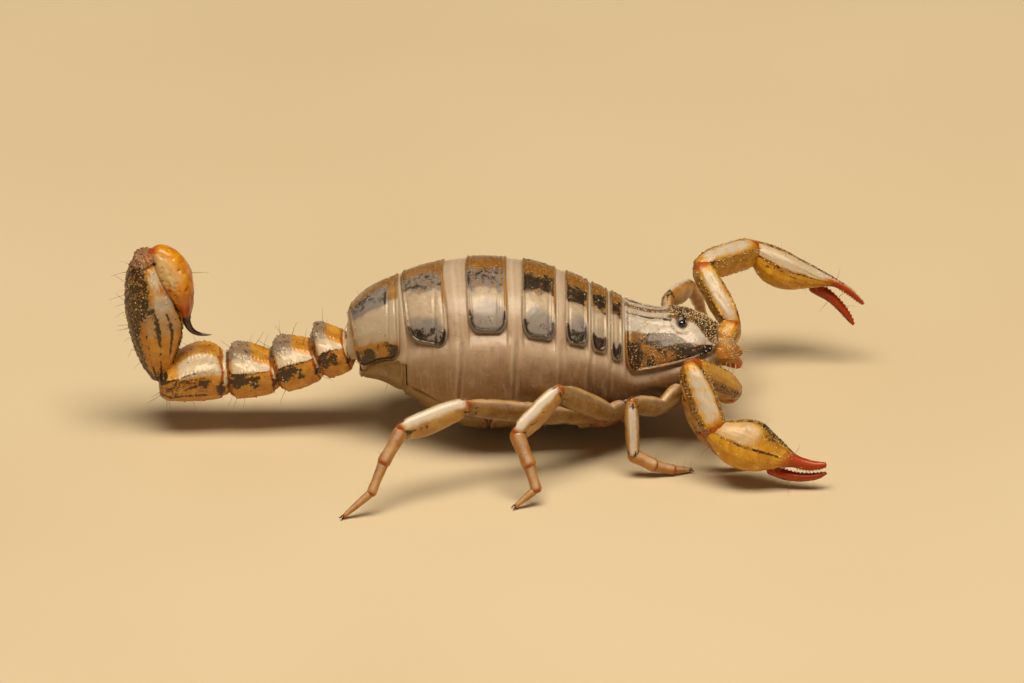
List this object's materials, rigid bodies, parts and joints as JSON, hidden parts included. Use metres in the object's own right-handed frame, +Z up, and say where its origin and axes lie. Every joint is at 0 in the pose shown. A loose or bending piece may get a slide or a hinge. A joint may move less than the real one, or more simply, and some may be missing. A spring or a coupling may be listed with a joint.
{
  "type": "desert scorpion",
  "caption": "Life-size still model of a swollen female desert scorpion, standing with its tail held low, the sting folded forwards and both pincers raised.",
  "frame": {"origin": "middle of the animal's bounding box, on the floor under its feet", "axes": "+X towards the head, +Y to the animal's own left, +Z up"},
  "size_m": [0.0462, 0.026, 0.0127],
  "materials": {
    "membrane_skin": "satin, stretched and finely pleated",
    "belly_skin": "satin",
    "tergite_shell": "glossy horn with fine grains",
    "sternite_shell": "smooth glossy horn",
    "eye_lens": "polished",
    "carapace_shell": "glossy horn with fine grains",
    "jaw_shell": "glossy horn",
    "comb_shell": "satin horn",
    "tail_shell": "glossy horn with grained keels",
    "bulb_shell": "glossy horn",
    "sting_shell": "polished horn",
    "leg_shell": "thin glossy horn",
    "palp_shell": "glossy horn",
    "finger_shell": "glossy horn"
  },
  "bodies": {
    "root": {"abdomen": "membrane_skin", "underside": "belly_skin", "tergite_1": "tergite_shell", "tergite_2": "tergite_shell", "tergite_3": "tergite_shell", "tergite_4": "tergite_shell", "tergite_5": "tergite_shell", "tergite_6": "tergite_shell", "tergite_7": "tergite_shell", "sternite_3": "sternite_shell", "sternite_4": "sternite_shell", "sternite_5": "sternite_shell", "sternite_6": "sternite_shell", "sternite_7": "sternite_shell", "eye_median_left": "eye_lens", "eye_median_right": "eye_lens", "carapace": "carapace_shell", "chelicera_left": "jaw_shell", "chelicera_right": "jaw_shell", "pecten_left": "comb_shell", "pecten_right": "comb_shell", "tail_1": "tail_shell", "tail_2": "tail_shell", "tail_3": "tail_shell", "tail_4": "tail_shell", "tail_5": "tail_shell", "telson": "bulb_shell", "sting": "sting_shell", "leg_1_right_upper": "leg_shell", "leg_1_right_lower": "leg_shell", "leg_1_left_upper": "leg_shell", "leg_1_left_lower": "leg_shell", "leg_2_right_upper": "leg_shell", "leg_2_right_lower": "leg_shell", "leg_2_left_upper": "leg_shell", "leg_2_left_lower": "leg_shell", "leg_3_right_upper": "leg_shell", "leg_3_right_lower": "leg_shell", "leg_3_left_upper": "leg_shell", "leg_3_left_lower": "leg_shell", "leg_4_right_upper": "leg_shell", "leg_4_right_lower": "leg_shell", "leg_4_left_upper": "leg_shell", "leg_4_left_lower": "leg_shell", "pedipalp_right_trochanter": "palp_shell", "pedipalp_right_femur": "palp_shell", "pedipalp_right_patella": "palp_shell", "pedipalp_right_hand": "palp_shell", "pedipalp_left_trochanter": "palp_shell", "pedipalp_left_femur": "palp_shell", "pedipalp_left_patella": "palp_shell", "pedipalp_left_hand": "palp_shell", "pedipalp_right_finger": "finger_shell", "pedipalp_left_finger": "finger_shell"}
  },
  "joints": []
}
